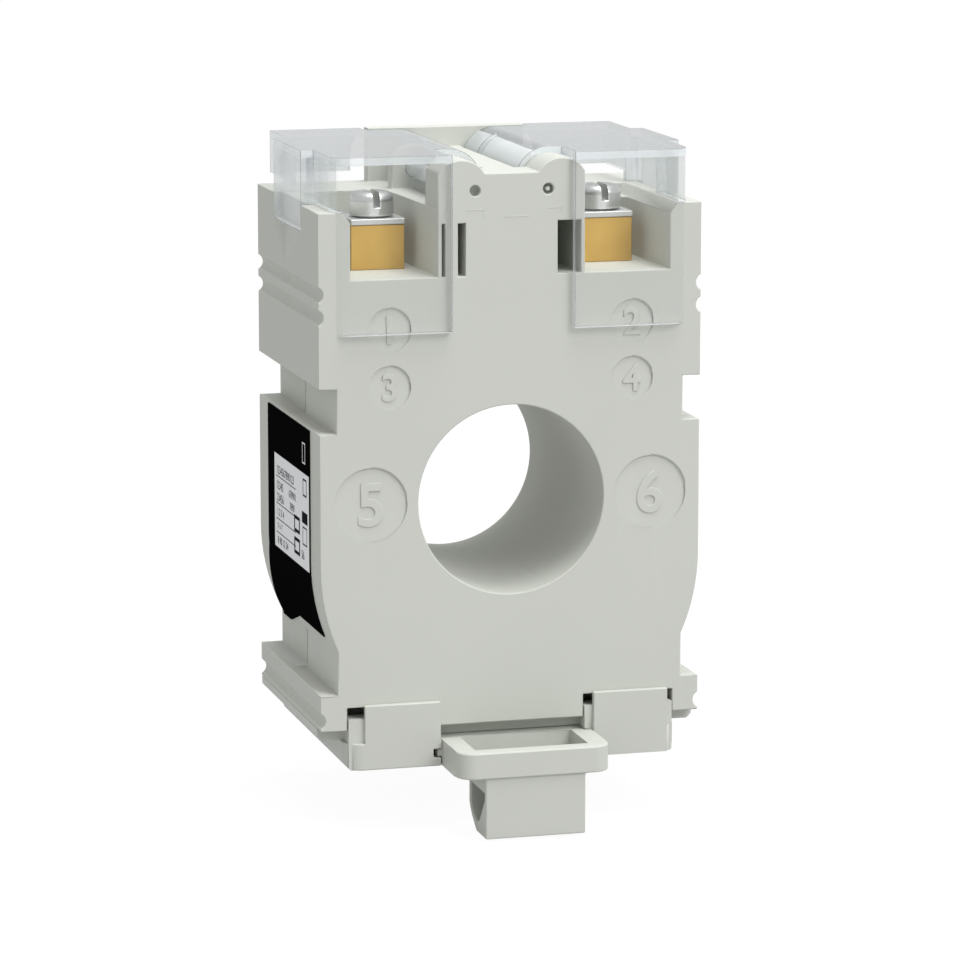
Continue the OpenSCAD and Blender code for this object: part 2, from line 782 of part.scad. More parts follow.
module rail_latch() color([0.79, 0.8, 0.77]) translate([clip_shift, 0, 0]) {
    translate([0, 0, block_low]) linear_extrude(height = latch_top - block_low) latch_plan();
    // Guide ribs
    for (s = [-1, 1]) translate([s * latch_x, 0, block_low + rib_z])
        box([-0.5, -0.4, -rib_h / 2], [0.5, rib_l - 0.4, rib_h / 2]);
    // Tongue under the loop
    difference() {
        along_x(-tongue_x, tongue_x) tongue_profile();
        along_x(-tongue_x - 1, -tongue_web / 2) tongue_pocket();
        along_x(tongue_web / 2, tongue_x + 1) tongue_pocket();
    }
}

// Label around the left side and its lower curve
module label() color([0.03, 0.03, 0.03]) {
    difference() {
        union() {
            along_y(label_y, split_y) translate([-label_t, 0]) outline(recess_front);
            along_y(split_y, body_d) translate([-label_t, 0]) outline(recess_rear);
        }
        along_y(0, split_y) outline(recess_front);
        along_y(split_y, body_d + cut) outline(recess_rear);
        box([-half_w + recess_rear, 0, foot_low - 1], [half_w + 1, body_d + 1, post_top + 1]);
        // Everything outside the outline of the film
        along_x(-half_w - 1, half_w) difference() {
            translate([-1, foot_low - 1]) square([body_d + 2, post_top - foot_low + 2]);
            polygon([[label_y, label_top], [label_end, label_top], [label_end, label_low + 7],
                [label_end + 3.6, label_low - 0.1], [label_end + 3.6, label_low - label_drop],
                [label_end - 0.2, label_low - label_drop], [split_y + 0.4, label_low],
                [label_y, label_low]]);
        }
    }
}

front_shell();
rear_shell();
core();
core_cap_front();
core_cap_rear();
winding();
winding_tape();
lead_left();
lead_right();
terminal_left();
terminal_right();
clamp_plate_left();
clamp_plate_right();
screw_left();
screw_right();
cover_left();
cover_right();
rail_base();
rail_latch();
label();
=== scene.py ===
# %% [markdown]
# # A current transformer for a 35 mm rail
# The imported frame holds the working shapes: a light grey housing in two shells,
# two clear covers, brass terminals, a rail clip and a label. This script dresses
# them. It rounds their edges, gives each surface its finish, and adds what is too
# fine for the frame: raised figures, witness lines, print and screw threads.

# %% Load the frame
import json
import math

import bmesh
import bpy
from mathutils import Matrix, Vector

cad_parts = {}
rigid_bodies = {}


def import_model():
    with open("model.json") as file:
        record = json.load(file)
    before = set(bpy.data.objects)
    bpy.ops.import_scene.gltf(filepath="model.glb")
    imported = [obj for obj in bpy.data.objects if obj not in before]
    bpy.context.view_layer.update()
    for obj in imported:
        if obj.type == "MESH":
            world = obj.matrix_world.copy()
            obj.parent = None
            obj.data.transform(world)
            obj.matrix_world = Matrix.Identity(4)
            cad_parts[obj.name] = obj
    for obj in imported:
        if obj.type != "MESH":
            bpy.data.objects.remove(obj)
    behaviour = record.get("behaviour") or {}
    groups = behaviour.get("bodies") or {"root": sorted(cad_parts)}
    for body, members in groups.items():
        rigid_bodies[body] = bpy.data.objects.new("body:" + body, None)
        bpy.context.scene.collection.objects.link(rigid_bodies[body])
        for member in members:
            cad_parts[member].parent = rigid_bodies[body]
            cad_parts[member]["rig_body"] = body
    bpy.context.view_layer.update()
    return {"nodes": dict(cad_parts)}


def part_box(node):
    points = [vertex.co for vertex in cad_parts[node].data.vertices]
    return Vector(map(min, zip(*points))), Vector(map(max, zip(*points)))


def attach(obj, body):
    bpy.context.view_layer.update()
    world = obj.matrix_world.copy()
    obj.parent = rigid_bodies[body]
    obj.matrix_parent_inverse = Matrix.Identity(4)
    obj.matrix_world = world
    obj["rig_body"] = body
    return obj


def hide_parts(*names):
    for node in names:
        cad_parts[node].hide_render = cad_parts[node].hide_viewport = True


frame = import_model()
MM = 0.001

# %% [markdown]
# ## Finishes
# Every finish starts from one Principled shader. Its patterns read Object
# coordinates, because every piece sits at the origin: a pattern then keeps one
# scale in metres over the whole object, and stays put when a cover swings.

# %% A material with its shader and its object coordinates
def start_finish(name, colour, roughness, metallic=0.0):
    finish = bpy.data.materials.new(name)
    finish.use_nodes = True
    tree = finish.node_tree
    shader = tree.nodes["Principled BSDF"]
    shader.inputs["Base Color"].default_value = (*colour, 1.0)
    shader.inputs["Roughness"].default_value = roughness
    shader.inputs["Metallic"].default_value = metallic
    place = tree.nodes.new("ShaderNodeTexCoord")
    return finish, tree, shader, place.outputs["Object"]


def noise(tree, place, scale, detail=2.0, stretch=(1, 1, 1)):
    turn = tree.nodes.new("ShaderNodeMapping")
    turn.inputs["Scale"].default_value = stretch
    tree.links.new(place, turn.inputs["Vector"])
    pattern = tree.nodes.new("ShaderNodeTexNoise")
    pattern.inputs["Scale"].default_value = scale
    pattern.inputs["Detail"].default_value = detail
    tree.links.new(turn.outputs["Vector"], pattern.inputs["Vector"])
    return pattern.outputs["Fac"]


def ramp(tree, value, low, high, at=(0.3, 0.7)):
    blend = tree.nodes.new("ShaderNodeValToRGB")
    for stop, colour, where in zip(blend.color_ramp.elements, (low, high), at):
        stop.color = (*colour, 1.0)
        stop.position = where
    tree.links.new(value, blend.inputs["Fac"])
    return blend.outputs["Color"]


def relief(tree, shader, value, height, strength=1.0):
    bump = tree.nodes.new("ShaderNodeBump")
    bump.inputs["Distance"].default_value = height
    bump.inputs["Strength"].default_value = strength
    tree.links.new(value, bump.inputs["Height"])
    tree.links.new(bump.outputs["Normal"], shader.inputs["Normal"])


def span(tree, value, low, high):
    fit = tree.nodes.new("ShaderNodeMapRange")
    fit.inputs["To Min"].default_value = low
    fit.inputs["To Max"].default_value = high
    tree.links.new(value, fit.inputs["Value"])
    return fit.outputs["Result"]


# %% [markdown]
# The housing is filled polycarbonate from a spark-eroded mould: an even, matt,
# slightly greenish light grey. A broad noise darkens the grey by up to 2.5
# percent, as mouldings do, and a fine one gives the eroded grain in the normals.
# The gloss is kept low, because an eroded mould leaves almost none.

# %% Moulded plastics
DARKEST = 0.975
BROAD_NOISE = 60.0
GRAIN_NOISE = 4200.0
MATT_SWING = 0.05


def moulded(name, grey, roughness=0.55, grain=0.000004, gloss=0.15):
    darker = tuple(c * DARKEST for c in grey)
    finish, tree, shader, place = start_finish(name, grey, roughness)
    clouds = noise(tree, place, BROAD_NOISE, detail=3.0)
    tree.links.new(ramp(tree, clouds, darker, grey), shader.inputs["Base Color"])
    rough = span(tree, clouds, roughness - MATT_SWING, roughness + MATT_SWING)
    tree.links.new(rough, shader.inputs["Roughness"])
    relief(tree, shader, noise(tree, place, GRAIN_NOISE), grain, strength=0.6)
    shader.inputs["Specular IOR Level"].default_value = gloss
    return finish


housing_plastic = moulded("housing_plastic", (0.585, 0.6, 0.553))
base_plastic = moulded("base_plastic", (0.575, 0.59, 0.545), 0.48, 0.000003, 0.2)
cap_plastic = moulded("cap_plastic", (0.05, 0.12, 0.25))
lead_sleeve = moulded("lead_sleeve", (0.5, 0.05, 0.04), 0.4)
tape_film = moulded("tape_film", (0.7, 0.6, 0.28), 0.3)
plastics = (housing_plastic, base_plastic, cap_plastic, lead_sleeve, tape_film)
print("plastics:", [made.name for made in plastics])


# %% [markdown]
# The brass blocks are sawn from drawn bar and tumbled, so a face shows faint
# upright drawing lines and soft stains. The screws are turned steel with zinc:
# fine rings from the tool, and a cooler grey. One function stretches a noise
# along the working direction for both.

# %% Metals
LINE_NOISE = 900.0
STAIN_NOISE = 350.0
DRAWN = 0.0000015
POLISHED = 0.0000003


def drawn_metal(name, colour, dark, roughness, stretch, depth=DRAWN):
    finish, tree, shader, place = start_finish(name, colour, roughness, metallic=1.0)
    lines = noise(tree, place, LINE_NOISE, detail=3.0, stretch=stretch)
    stains = noise(tree, place, STAIN_NOISE)
    tree.links.new(ramp(tree, stains, dark, colour), shader.inputs["Base Color"])
    tree.links.new(span(tree, lines, roughness - 0.1, roughness + 0.12), shader.inputs["Roughness"])
    relief(tree, shader, lines, depth, strength=0.3)
    return finish


brass = drawn_metal("brass", (0.66, 0.43, 0.115), (0.6, 0.38, 0.095), 0.45, (6, 6, 0.3))
zinc = drawn_metal("zinc", (0.72, 0.73, 0.72), (0.66, 0.67, 0.66), 0.36, (0.1, 0.1, 4), POLISHED)
# A darker zinc for the domed top of the screw heads: a painted dark reflection.
zinc_painted_reflection = drawn_metal("zinc_painted_reflection", (0.54, 0.55, 0.54), (0.49, 0.5, 0.49), 0.34, (1, 1, 1), POLISHED)
plate_zinc = drawn_metal("plate_zinc", (0.6, 0.61, 0.6), (0.55, 0.56, 0.55), 0.45, (0.5, 4, 1))
core_steel = drawn_metal("core_steel", (0.4, 0.41, 0.42), (0.33, 0.34, 0.35), 0.5, (1, 8, 1))
copper = drawn_metal("copper", (0.72, 0.34, 0.16), (0.6, 0.26, 0.1), 0.3, (1, 0.3, 1))
metals = (brass, zinc, zinc_painted_reflection, plate_zinc, core_steel, copper)
print("metals:", [made.name for made in metals])


# %% [markdown]
# The covers are clear polycarbonate. Real refraction would be one way, but thin
# walls seen against a white room then show black streaks. So a wall is a thin
# veil here: nearly open where one looks straight through it, and paler where one
# looks across it. Layer Weight gives that angle. At the flattest angles an upright
# wall opens again, so that the light from overhead reaches the terminals behind.

# %% Clear plastic
HAZE_NOISE = 500.0
HAZE_SWING = 0.04


def clear(name, tint, stops, roughness=0.1, gloss=0.5):
    finish, tree, shader, place = start_finish(name, tint, roughness)
    shader.inputs["Specular IOR Level"].default_value = gloss
    angle = tree.nodes.new("ShaderNodeLayerWeight")
    veil = tree.nodes.new("ShaderNodeValToRGB")
    marks = veil.color_ramp.elements
    while len(marks) < len(stops):
        marks.new(0.5)
    for mark, (where, level) in zip(marks, stops):
        mark.position = where
        mark.color = (level, level, level, 1.0)
    tree.links.new(angle.outputs["Facing"], veil.inputs["Fac"])
    tree.links.new(veil.outputs["Color"], shader.inputs["Alpha"])
    haze = noise(tree, place, HAZE_NOISE)
    rough = span(tree, haze, roughness - HAZE_SWING, roughness + HAZE_SWING)
    tree.links.new(rough, shader.inputs["Roughness"])
    return finish


WALL_VEIL = ((0.05, 0.03), (0.5, 0.06), (0.73, 0.15), (0.85, 0.08), (1.0, 0.08))
LID_VEIL = ((0.05, 0.05), (0.5, 0.15), (0.7, 0.55), (0.82, 0.85), (1.0, 0.92))
RIM_VEIL = ((0.0, 0.6), (1.0, 0.85))
EDGE_VEIL = ((0.0, 0.5), (1.0, 0.7))
SIDE_VEIL = ((0.0, 0.06), (0.5, 0.12), (0.69, 0.46), (0.79, 0.46), (0.9, 0.08))
REAR_VEIL = ((0.0, 0.42), (0.15, 0.38), (0.45, 0.12), (1.0, 0.1))
BARREL_VEIL = ((0.0, 0.48), (1.0, 0.6))
CLEAR = (
    clear("clear_wall", (0.62, 0.66, 0.68), WALL_VEIL),
    # Painted glow: the rims take a paler tint than the walls.
    clear("clear_rim_painted_glow", (0.8, 0.85, 0.87), RIM_VEIL, 0.2),
    clear("clear_lid", (0.15, 0.17, 0.175), LID_VEIL, 0.1, 0.25),
    # The edge finish's colour is painted light: a glow below, shade above, set further down.
    clear("clear_edge_painted_light", (0.5, 0.5, 0.5), EDGE_VEIL, 0.2),
    # Painted light: the side walls take a paler tint than the rear wall, making up for the weaker light
    # they get.
    clear("clear_side_painted_light", (0.75, 0.8, 0.8), SIDE_VEIL, 0.15, 0.2),
    clear("clear_rear", (0.62, 0.66, 0.69), REAR_VEIL, 0.15, 0.2),
    clear("clear_barrel", (0.76, 0.8, 0.81), BARREL_VEIL, 0.15, 0.2),
)
RIM, LID, EDGE, SIDE, REAR, BARREL = range(1, len(CLEAR))
print("clear plastic:", len(CLEAR), "finishes")

# %% [markdown]
# Light runs down inside a clear wall and leaves it at its lower edge, which then
# shines, while the upright and upper edges look dark. Here that is painted light:
# the rounded edges all have one finish, whose colour is a painted glow on the edges
# that face down and painted shade on the others. It tells them apart by the
# direction of the surface itself.

# %% Painted glow on lower edges, painted shade on the others
# Painted glow for edges facing down, painted shade for upright and upper edges.
PAINTED_LOWER_GLOW = (0.96, 0.98, 0.97)
PAINTED_UPPER_SHADE = (0.3, 0.31, 0.32)
FACING_DOWN = (-0.25, -0.03)

edge_tree = CLEAR[EDGE].node_tree
facing = edge_tree.nodes.new("ShaderNodeSeparateXYZ")
edge_tree.links.new(edge_tree.nodes["Texture Coordinate"].outputs["Normal"], facing.inputs[0])
share = edge_tree.nodes.new("ShaderNodeMapRange")
for name, value in zip(("From Min", "From Max"), FACING_DOWN):
    share.inputs[name].default_value = value
edge_tree.links.new(facing.outputs["Z"], share.inputs["Value"])
painted_edge_colour = ramp(edge_tree, share.outputs["Result"], PAINTED_LOWER_GLOW, PAINTED_UPPER_SHADE, at=(0.0, 1.0))
edge_tree.links.new(painted_edge_colour, edge_tree.nodes["Principled BSDF"].inputs["Base Color"])
print("edge finish:", CLEAR[EDGE].name)


# %% [markdown]
# The label is printed polyester film: black with a satin face, and a pale panel.

# %% Printed film
WAVE_NOISE = 300.0
WAVE_HEIGHT = 0.000004


def film(name, colour, roughness, gloss):
    finish, tree, shader, place = start_finish(name, colour, roughness)
    wave = noise(tree, place, WAVE_NOISE)
    tree.links.new(span(tree, wave, roughness - 0.05, roughness + 0.06), shader.inputs["Roughness"])
    relief(tree, shader, wave, WAVE_HEIGHT, strength=0.3)
    shader.inputs["Specular IOR Level"].default_value = gloss
    return finish


label_black = film("label_black", (0.004, 0.004, 0.004), 0.6, 0.0)
label_pale = film("label_pale", (0.88, 0.9, 0.91), 0.6, 0.1)
label_ink = film("label_ink", (0.02, 0.02, 0.024), 0.6, 0.0)
print("films:", [made.name for made in (label_black, label_pale, label_ink)])

# %% [markdown]
# ## Dressing the frame
# A moulded edge is never sharp. Each node of the frame is copied, its loose
# triangles are merged and its flat faces joined, and a Bevel modifier rounds the
# sharp edges of the copy, which then stands for the node. An edge beside a very
# narrow face or a very short edge has no room for the rounding and stays sharp.
# A bevel weight marks the others. The modifier's own clamp would make the
# rounding of the whole piece as narrow as its narrowest spot allows.

# %% Copy a node, and show a dressed shape
SHARP = math.radians(40)
FLAT = math.radians(0.5)
SAME_PLACE = 0.002 * MM
NO_LENGTH = 0.001 * MM
NEARLY_STRAIGHT = 0.94
BESIDE = 0.85
ROOM = 2.2


def cut_through(shape, place, outward, **options):
    everything = shape.verts[:] + shape.edges[:] + shape.faces[:]
    cut = bmesh.ops.bisect_plane(shape, geom=everything, plane_co=place, plane_no=outward, **options)
    return [part for part in cut["geom_cut"] if isinstance(part, bmesh.types.BMEdge)]


def merged(node, cuts=()):
    shape = bmesh.new()
    shape.from_mesh(frame["nodes"][node].data)
    bmesh.ops.remove_doubles(shape, verts=shape.verts, dist=SAME_PLACE)
    bmesh.ops.dissolve_degenerate(shape, dist=SAME_PLACE, edges=shape.edges)
    for place, outward in cuts:
        for edge in cut_through(shape, place, outward):
            edge.seam = True
    bmesh.ops.dissolve_limit(shape, angle_limit=FLAT, verts=shape.verts, edges=shape.edges,
                             delimit={"SEAM"})
    bmesh.ops.dissolve_degenerate(shape, dist=NO_LENGTH, edges=shape.edges)
    return shape


def show(shape, name, finishes, body):
    mesh = bpy.data.meshes.new(name)
    shape.to_mesh(mesh)
    shape.free()
    piece = bpy.data.objects.new(name, mesh)
    bpy.context.scene.collection.objects.link(piece)
    for finish in finishes:
        mesh.materials.append(finish)
    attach(piece, body)
    print(name, len(mesh.polygons), "faces")
    return piece


def has_room(edge, needed):
    start, end = edge.verts
    along = (end.co - start.co).normalized()
    for corner, inward in ((start, along), (end, -along)):
        for other in corner.link_edges:
            if other is edge:
                continue
            way = other.other_vert(corner).co - corner.co
            beside = way.normalized().dot(inward)
            if beside > NEARLY_STRAIGHT or (abs(beside) < BESIDE and way.length < needed):
                return False
    for face in edge.link_faces:
        if max((corner.co - start.co).cross(along).length for corner in face.verts) < needed:
            return False
    return True


def weigh_edges(shape, radius):
    weight = shape.edges.layers.float.new("bevel_weight_edge")
    for edge in shape.edges:
        if edge.calc_face_angle(0) > SHARP and has_room(edge, ROOM * radius * MM):
            edge[weight] = 1.0


def soften(piece, radius, limit="ANGLE", finish=-1):
    for face in piece.data.polygons:
        face.use_smooth = True
    piece.data.set_sharp_from_angle(angle=SHARP)
    edge = piece.modifiers.new("edges", "BEVEL")
    edge.width = radius * MM
    edge.segments = 2
    edge.limit_method = limit
    edge.angle_limit = SHARP
    edge.material = finish
    edge.use_clamp_overlap = False
    weigh = piece.modifiers.new("normals", "WEIGHTED_NORMAL")
    weigh.weight = 100
    weigh.keep_sharp = True


def dress(node, shape, finishes, radius, edge_finish=-1):
    weigh_edges(shape, radius)
    piece = show(shape, "shown_" + node, finishes, frame["nodes"][node]["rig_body"])
    soften(piece, radius, "WEIGHT", edge_finish)
    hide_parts(node)


# %% [markdown]
# A flat face with a hole in it can't be one polygon without a slit, and a slit
# spoils the rounding. So the shells are first cut through the window's axis and
# through the marking discs, which leaves each hole between simple faces. The
# floor of a marking disc slopes: it is deepest at the upper right and shallowest
# at the lower left. Each corner of such a floor is raised by how far it lies to
# the lower left, which keeps the floor flat.

# %% Marking discs with a sloping floor
DISC_DEPTH = 0.3 * MM
DISCS = (
    ("1", -14.0, 19.6, 3.1), ("2", 14.0, 19.6, 3.1), ("3", -14.0, 13.2, 3.1),
    ("4", 14.0, 13.2, 3.1), ("5", -16.2, 0.1, 4.9), ("6", 16.2, 0.1, 4.9),
)
DISC_REACH = 0.9
ON_FLOOR = 0.005 * MM
SHALLOW = 0.22 * MM
DEEP_WAY = Vector((0.64, 0.0, 0.77))


def slope_discs(shape):
    moved = 0
    for corner in shape.verts:
        if abs(corner.co.y - DISC_DEPTH) > ON_FLOOR:
            continue
        for _, x, z, height in DISCS:
            reach = DISC_REACH * height * MM
            away = Vector((corner.co.x - x * MM, 0.0, corner.co.z - z * MM))
            if away.length < reach:
                corner.co.y -= SHALLOW * (0.5 - 0.5 * away.dot(DEEP_WAY) / reach)
                moved += 1
    print("disc floor corners:", moved)


# %% [markdown]
# The opaque mouldings and the terminal blocks only need softer edges. A moulding
# is rounder than a sawn block or a stamped plate, so each has a radius of its own,
# in millimetres.

# %% Mouldings and blocks
UPRIGHT, LEVEL = (1, 0, 0), (0, 0, 1)
THROUGH_HOLES = (-14.0, -4.2, 0.0, 4.2, 14.0)
SHELL_CUTS = [((x * MM, 0, 0), UPRIGHT) for x in THROUGH_HOLES] + [((0, 0, 0), LEVEL)]
SOFTENED = {
    "front_shell": (housing_plastic, "housing", 0.12),
    "rear_shell": (housing_plastic, "housing", 0.12),
    "rail_base": (base_plastic, "base_plastic", 0.14),
    "rail_latch": (base_plastic, "base_plastic", 0.16),
    "terminal_left": (brass, "brass", 0.1),
    "terminal_right": (brass, "brass", 0.1),
    "clamp_plate_left": (plate_zinc, "steel", 0.08),
    "clamp_plate_right": (plate_zinc, "steel", 0.08),
}
for node, (finish, slot_name, radius) in SOFTENED.items():
    cuts = SHELL_CUTS if finish is housing_plastic else ()
    shape = merged(node, cuts)
    if node == "front_shell":
        slope_discs(shape)
    dress(node, shape, [finish], radius)

# %% [markdown]
# Light that enters a clear moulding comes out again at its cut edges, so they
# look pale and bright, and the thin rounding along each edge bends it away and
# looks darker. Both are painted light here: the rims take a paler tint, a painted
# glow, and the rounding takes the edge finish with its painted glow and painted
# shade. The copy of each cover is cut at the underside of its lid, and every face
# no wider than a wall, with sharp edges along both its long sides, takes the
# brighter finish with the painted glow, as do the sides of the lid. The top of the
# lid has one of its own. The side walls look milky, because one sees them through
# more plastic, and so do the rear wall and the thick hinge barrels. Each has its
# own finish: a side wall gets less light, and its paler tint is painted light that
# makes up for it.

# %% Clear covers with painted-glow rims
WALL = 0.9 * MM
RIM_WIDTH = 1.3 * WALL
LEANING = 0.5
UPWARD = 0.9
SIDE_FROM = 2.0 * MM
BARREL_TO = 9.6 * MM


def is_rim(face, lid_top):
    longest = max(edge.calc_length() for edge in face.edges)
    across = face.calc_area() / longest
    sides = [edge for edge in face.edges if edge.calc_length() > longest / 2]
    cut_edge = across < RIM_WIDTH and all(edge.calc_face_angle(0) > SHARP for edge in sides)
    lid_side = abs(face.normal.z) < LEANING and face.calc_center_median().z > lid_top - WALL
    return cut_edge or lid_side


for node in ("cover_left", "cover_right"):
    shape = merged(node)
    lid_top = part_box(node)[1][2]
    cut_through(shape, (0, 0, lid_top - WALL), LEVEL)
    bmesh.ops.dissolve_degenerate(shape, dist=NO_LENGTH, edges=shape.edges)
    rims = [face for face in shape.faces if is_rim(face, lid_top)]
    for face in rims:
        face.material_index = RIM
    for face in shape.faces:
        centre = face.calc_center_median()
        if face.normal.z > UPWARD and centre.z > lid_top - WALL / 2:
            face.material_index = LID
        elif face not in rims and centre.y > SIDE_FROM:
            if abs(centre.x) < BARREL_TO:
                face.material_index = BARREL
            elif abs(face.normal.y) > LEANING:
                face.material_index = REAR
            elif abs(face.normal.x) > LEANING:
                # Side walls take the paler tint, which is painted light.
                face.material_index = SIDE
    print(node, "rim faces:", len(rims))
    dress(node, shape, CLEAR, 0.09, EDGE)

# %% [markdown]
# The frame's screws have plain shanks. A real one is rolled with a thread of
# 0.5 mm pitch. The copy is cut off under the head and closed, and a saw-tooth
# line is spun around the screw's own axis for the threaded shank. The domed top of
# the head has a darker colour than its side: a painted dark reflection.

# %% Screws with threaded shanks
PITCH = 0.5 * MM
HEAD_HEIGHT = 2.7 * MM
DOME_HEIGHT = 1.05 * MM
THREAD_DEPTH = 0.25 * MM
SHANK_RADIUS = 1.5 * MM
UNDER_HEAD = 0.02 * MM
INTO_HEAD = 0.2 * MM
AROUND = 32
PAINTED_DARK_TOP = 1


def threaded_shank(shape, axis, low, high):
    line = [shape.verts.new((axis.x, axis.y, low))]
    teeth = round((high - low) / PITCH)
    for tooth in range(teeth):
        z = low + tooth * PITCH
        line.append(shape.verts.new((axis.x + SHANK_RADIUS - THREAD_DEPTH, axis.y, z)))
        line.append(shape.verts.new((axis.x + SHANK_RADIUS, axis.y, z + PITCH / 2)))
    line.append(shape.verts.new((axis.x + SHANK_RADIUS - THREAD_DEPTH, axis.y, high)))
    line.append(shape.verts.new((axis.x, axis.y, high)))
    edges = [shape.edges.new(pair) for pair in zip(line, line[1:])]
    bmesh.ops.spin(shape, geom=line + edges, cent=(axis.x, axis.y, 0), axis=(0, 0, 1),
                   angle=math.tau, steps=AROUND, use_merge=True)
    return teeth


for node in ("screw_left", "screw_right"):
    low, high = (Vector(corner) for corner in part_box(node))
    axis = (low + high) / 2
    shape = merged(node)
    neck = high.z - HEAD_HEIGHT + UNDER_HEAD
    rim = cut_through(shape, (0, 0, neck), LEVEL, clear_inner=True)
    bmesh.ops.holes_fill(shape, edges=rim)
    teeth = threaded_shank(shape, axis, low.z, neck + INTO_HEAD)
    bmesh.ops.remove_doubles(shape, verts=shape.verts, dist=SAME_PLACE)
    bmesh.ops.recalc_face_normals(shape, faces=shape.faces)
    # The domed top takes the darker zinc, a painted dark reflection.
    for face in shape.faces:
        if face.calc_center_median().z > high.z - DOME_HEIGHT:
            face.material_index = PAINTED_DARK_TOP
    print(node, "teeth:", teeth)
    dress(node, shape, [zinc, zinc_painted_reflection], 0.09)

# %% [markdown]
# The pieces inside the housing keep their shape and only take a finish.

# %% Finish the inner pieces
INSIDE = {
    "core": (core_steel, "core_steel"),
    "core_cap_front": (cap_plastic, "cap_plastic"),
    "core_cap_rear": (cap_plastic, "cap_plastic"),
    "winding": (copper, "copper"),
    "winding_tape": (tape_film, "tape"),
    "lead_left": (lead_sleeve, "lead_sleeve"),
    "lead_right": (lead_sleeve, "lead_sleeve"),
}
for node, (finish, slot_name) in INSIDE.items():
    piece = frame["nodes"][node]
    piece.data.materials.clear()
    piece.data.materials.append(finish)
print("inner pieces:", len(INSIDE))

# %% [markdown]
# ## Raised figures
# The real front face has sunk discs with raised marks. Here they hold plain
# numbers. A text curve gives the outline. It is made a mesh first, and only then
# scaled and turned into its disc.

# %% Figures as a mesh
HOUSING = frame["nodes"]["front_shell"]["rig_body"]
EXTRUDE = 0.1
OUTLINE_STEPS = 6
SAME_POINT = 0.0001


def figures(text, height, depth, bevel=0.02):
    curve = bpy.data.curves.new("figures", "FONT")
    curve.body = text
    curve.extrude = EXTRUDE
    curve.bevel_depth = bevel
    curve.resolution_u = OUTLINE_STEPS
    holder = bpy.data.objects.new("figures", curve)
    bpy.context.scene.collection.objects.link(holder)
    ready = holder.evaluated_get(bpy.context.evaluated_depsgraph_get())
    flat = bpy.data.meshes.new_from_object(ready)
    shape = bmesh.new()
    shape.from_mesh(flat)
    bpy.data.objects.remove(holder)
    bpy.data.meshes.remove(flat)
    bmesh.ops.remove_doubles(shape, verts=shape.verts, dist=SAME_POINT)
    low = Vector([min(v.co[i] for v in shape.verts) for i in range(3)])
    high = Vector([max(v.co[i] for v in shape.verts) for i in range(3)])
    middle = (low + high) / 2
    grow = height / (high.y - low.y)
    bmesh.ops.translate(shape, vec=(-middle.x, -middle.y, -low.z), verts=shape.verts)
    bmesh.ops.scale(shape, vec=(grow, grow, depth / (high.z - low.z)), verts=shape.verts)
    return shape


def turn_to(shape, right, up, at):
    out = Vector(right).cross(Vector(up))
    turn = Matrix((right, up, out)).transposed().to_4x4()
    bmesh.ops.transform(shape, matrix=Matrix.Translation(at) @ turn, verts=shape.verts)


# %% [markdown]
# Each number starts at the full depth of its disc and ends just behind the front
# face, so that nothing stands out of the frame's box.

# %% Numbers in the six discs
FIGURE_DEPTH = 0.29 * MM
for text, x, z, height in DISCS:
    shape = figures(text, height * MM, FIGURE_DEPTH)
    turn_to(shape, (1, 0, 0), (0, 0, 1), (x * MM, DISC_DEPTH, z * MM))
    show(shape, "figure_" + text, [housing_plastic], HOUSING)

# %% [markdown]
# Two bent witness lines and a straight one mark where slides of the mould meet the
# front of the hinge block, and the right sealing hole still holds its moulded
# peg. The lines are slim ribs, five in all, because a bent line takes two.

# %% Witness lines and the sealing peg
LINE_WIDTH = 0.1
LINE_HEIGHT = 0.03


def bar(shape, size, at):
    made = bmesh.ops.create_cube(shape, size=1.0)
    bmesh.ops.scale(shape, vec=[side * MM for side in size], verts=made["verts"])
    bmesh.ops.translate(shape, vec=at, verts=made["verts"])


def rib(shape, start, end):
    (x0, z0), (x1, z1) = start, end
    size = (abs(x1 - x0) + LINE_WIDTH, 2 * LINE_HEIGHT, abs(z1 - z0) + LINE_WIDTH)
    bar(shape, size, ((x0 + x1) / 2 * MM, 0, (z0 + z1) / 2 * MM))


LINES = (
    ((-5.13, 32.64), (-3.2, 32.64)), ((-3.2, 32.64), (-3.2, 31.7)),
    ((4.21, 32.64), (5.75, 32.64)), ((5.75, 32.64), (5.75, 32.15)),
    ((-0.78, 31.8), (1.87, 31.8)),
)
shape = bmesh.new()
for start, end in LINES:
    rib(shape, start, end)
lines = show(shape, "witness_lines", [housing_plastic], HOUSING)
soften(lines, 0.02)

PEG_RADIUS = 0.3 * MM
PEG_LENGTH = 1.0 * MM
PEG_TAPER = 0.8
PEG_AT = (4.2 * MM, 0.7 * MM, 34.75 * MM)
shape = bmesh.new()
bmesh.ops.create_cone(shape, cap_ends=True, segments=24, radius1=PEG_RADIUS,
                      radius2=PEG_RADIUS * PEG_TAPER, depth=PEG_LENGTH)
turn_to(shape, (1, 0, 0), (0, 0, 1), PEG_AT)
peg = show(shape, "sealing_peg", [housing_plastic], HOUSING)
soften(peg, 0.06)

# %% [markdown]
# ## Label
# The real label is one film with a printed panel. The panel is part of the
# label's own face: the copy is cut along the panel's borders, and the faces
# inside take the pale finish. The print is a very thin layer on top: plain
# numbers, rules and blocks, where the real label has its type plate.

